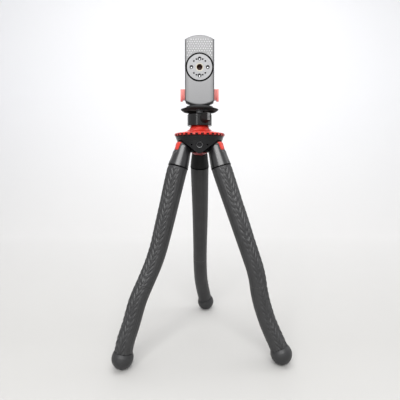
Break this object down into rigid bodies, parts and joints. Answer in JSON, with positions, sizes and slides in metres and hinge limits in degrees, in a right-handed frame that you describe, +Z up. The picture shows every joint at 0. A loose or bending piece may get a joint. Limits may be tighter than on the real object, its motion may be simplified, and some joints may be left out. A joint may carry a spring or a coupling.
{
  "type": "camera tripod",
  "caption": "Tabletop tripod with bendable rubber legs, ball head and spring phone clamp; threaded accessory sockets in the hub.",
  "frame": {"origin": "on the floor, on the vertical axis of the head and hub", "axes": "+Z up along the head's axis; the clamp's disc faces -Y; the rear leg points to +Y"},
  "size_m": [0.1861, 0.1694, 0.3424],
  "materials": {
    "hub_black": "fine matte moulded plastic",
    "head_black": "black anodised, satin",
    "clamp_black": "satin moulded plastic",
    "cover_grey": "satin grey with a fine dot relief",
    "disc_metal": "silvery satin",
    "red_plastic": "glossy red",
    "red_jaw": "satin light red",
    "red_button": "glossy red",
    "socket_gloss": "polished black",
    "leg_rubber": "matte rubber with a raised leaf relief",
    "foot_rubber": "matte rubber",
    "rubber": "matte rubber",
    "steel": "plain",
    "brass": "turned",
    "nylon": "natural nylon",
    "core_metal": "annealed rod"
  },
  "bodies": {
    "base": {"hub_body": "hub_black", "hub_panels": "hub_black", "accessory_inserts": "steel", "bottom_cap": "red_plastic", "center_bolt": "steel", "head_housing": "head_black", "leg_pins": "steel", "clamp_shoe": "brass"},
    "wheel": {"lock_wheel": "red_plastic"},
    "knob": {"lock_knob": "head_black", "lock_screw": "steel"},
    "seat": {"ball_seat": "nylon"},
    "ball": {"ball": "steel"},
    "clamp": {"platform": "head_black", "platform_pad": "rubber", "camera_screw": "steel", "clamp_cover": "cover_grey", "clamp_frame": "clamp_black", "clamp_screws": "steel", "disc_ring": "clamp_black", "lower_jaw": "red_jaw", "lower_jaw_pad": "rubber", "rest_pad": "rubber", "foot_insert": "brass", "jaw_springs": "steel"},
    "disc": {"thread_disc": "disc_metal", "thread_insert": "brass", "disc_retainer": "steel", "disc_screws": "steel"},
    "jaw": {"upper_jaw": "clamp_black", "upper_jaw_pad": "rubber", "jaw_rods": "steel"},
    "left_upper_leg": {"left_socket": "socket_gloss", "left_upper_sleeve": "leg_rubber", "left_core": "core_metal", "left_button_spring": "steel"},
    "left_leg_button": {"left_button": "red_button"},
    "left_middle_leg": {"left_middle_sleeve": "leg_rubber", "left_bend_sleeves": "leg_rubber"},
    "left_lower_leg": {"left_lower_sleeve": "leg_rubber", "left_foot": "foot_rubber"},
    "right_upper_leg": {"right_socket": "socket_gloss", "right_upper_sleeve": "leg_rubber", "right_core": "core_metal", "right_button_spring": "steel"},
    "right_leg_button": {"right_button": "red_button"},
    "right_middle_leg": {"right_middle_sleeve": "leg_rubber", "right_bend_sleeves": "leg_rubber"},
    "right_lower_leg": {"right_lower_sleeve": "leg_rubber", "right_foot": "foot_rubber"},
    "rear_upper_leg": {"rear_socket": "socket_gloss", "rear_upper_sleeve": "leg_rubber", "rear_core": "core_metal", "rear_button_spring": "steel"},
    "rear_leg_button": {"rear_button": "red_button"},
    "rear_middle_leg": {"rear_middle_sleeve": "leg_rubber", "rear_bend_sleeves": "leg_rubber"},
    "rear_lower_leg": {"rear_lower_sleeve": "leg_rubber", "rear_foot": "foot_rubber"}
  },
  "joints": [
    {"name": "head_roll", "type": "hinge", "parent": "base", "child": "seat", "pos_m": [0, 0, 0.256], "axis": [0, -1, 0], "range_deg": [-5, 27]},
    {"name": "head_tilt", "type": "hinge", "parent": "seat", "child": "ball", "pos_m": [0, 0, 0.256], "axis": [1, 0, 0], "range_deg": [-27, 5]},
    {"name": "head_pan", "type": "hinge", "parent": "ball", "child": "clamp", "pos_m": [0, 0, 0.256], "axis": [0, 0, 1], "continuous": true},
    {"name": "jaw_slide", "type": "slide", "parent": "clamp", "child": "jaw", "axis": [0, 0, 1], "range_m": [0, 0.032], "stiffness_N_per_m": 300, "springref_m": -0.015, "deforming": ["jaw_springs"]},
    {"name": "disc_turn", "type": "hinge", "parent": "clamp", "child": "disc", "pos_m": [0, -0.0068, 0.3095], "axis": [0, -1, 0], "continuous": true},
    {"name": "wheel_turn", "type": "hinge", "parent": "base", "child": "wheel", "pos_m": [0, 0, 0.24], "axis": [0, 0, 1], "continuous": true},
    {"name": "knob_turn", "type": "hinge", "parent": "base", "child": "knob", "pos_m": [0, 0, 0.25715], "axis": [0.4384, -0.8988, 0], "range_deg": [0, 360]},
    {"name": "left_leg_hinge", "type": "hinge", "parent": "base", "child": "left_upper_leg", "pos_m": [-0.01749, -0.0101, 0.2245], "axis": [-0.5, 0.866, 0], "range_deg": [-18, 32]},
    {"name": "left_button_press", "type": "slide", "parent": "left_upper_leg", "child": "left_leg_button", "axis": [0.8236, 0.4755, -0.309], "range_m": [0, 0.0012], "stiffness_N_per_m": 800, "springref_m": -0.001, "deforming": ["left_button_spring"]},
    {"name": "left_knee_bend", "type": "hinge", "parent": "left_upper_leg", "child": "left_middle_leg", "pos_m": [-0.05036, -0.03068, 0.09851], "axis": [0.5, -0.866, 0], "range_deg": [-60, 60], "deforming": ["left_bend_sleeves", "left_core"]},
    {"name": "left_ankle_bend", "type": "hinge", "parent": "left_middle_leg", "child": "left_lower_leg", "pos_m": [-0.06503, -0.04173, 0.063], "axis": [0.5, -0.866, 0], "range_deg": [-60, 60], "deforming": ["left_bend_sleeves", "left_core"]},
    {"name": "right_leg_hinge", "type": "hinge", "parent": "base", "child": "right_upper_leg", "pos_m": [0.01749, -0.0101, 0.2245], "axis": [-0.5, -0.866, 0], "range_deg": [-18, 32]},
    {"name": "right_button_press", "type": "slide", "parent": "right_upper_leg", "child": "right_leg_button", "axis": [-0.8236, 0.4755, -0.309], "range_m": [0, 0.0012], "stiffness_N_per_m": 800, "springref_m": -0.001, "deforming": ["right_button_spring"]},
    {"name": "right_knee_bend", "type": "hinge", "parent": "right_upper_leg", "child": "right_middle_leg", "pos_m": [0.05742, -0.03161, 0.10057], "axis": [0.5, 0.866, 0], "range_deg": [-60, 60], "deforming": ["right_bend_sleeves", "right_core"]},
    {"name": "right_ankle_bend", "type": "hinge", "parent": "right_middle_leg", "child": "right_lower_leg", "pos_m": [0.06551, -0.03444, 0.06155], "axis": [0.5, 0.866, 0], "range_deg": [-60, 60], "deforming": ["right_bend_sleeves", "right_core"]},
    {"name": "rear_leg_hinge", "type": "hinge", "parent": "base", "child": "rear_upper_leg", "pos_m": [0, 0.0202, 0.2245], "axis": [1, 0, 0], "range_deg": [-18, 32]},
    {"name": "rear_button_press", "type": "slide", "parent": "rear_upper_leg", "child": "rear_leg_button", "axis": [0, -0.9511, -0.309], "range_m": [0, 0.0012], "stiffness_N_per_m": 800, "springref_m": -0.001, "deforming": ["rear_button_spring"]},
    {"name": "rear_knee_bend", "type": "hinge", "parent": "rear_upper_leg", "child": "rear_middle_leg", "pos_m": [0.00056, 0.06392, 0.09996], "axis": [-1, 0, 0], "range_deg": [-60, 60], "deforming": ["rear_bend_sleeves", "rear_core"]},
    {"name": "rear_ankle_bend", "type": "hinge", "parent": "rear_middle_leg", "child": "rear_lower_leg", "pos_m": [0.00105, 0.07716, 0.06223], "axis": [-1, 0, 0], "range_deg": [-60, 60], "deforming": ["rear_bend_sleeves", "rear_core"]}
  ]
}
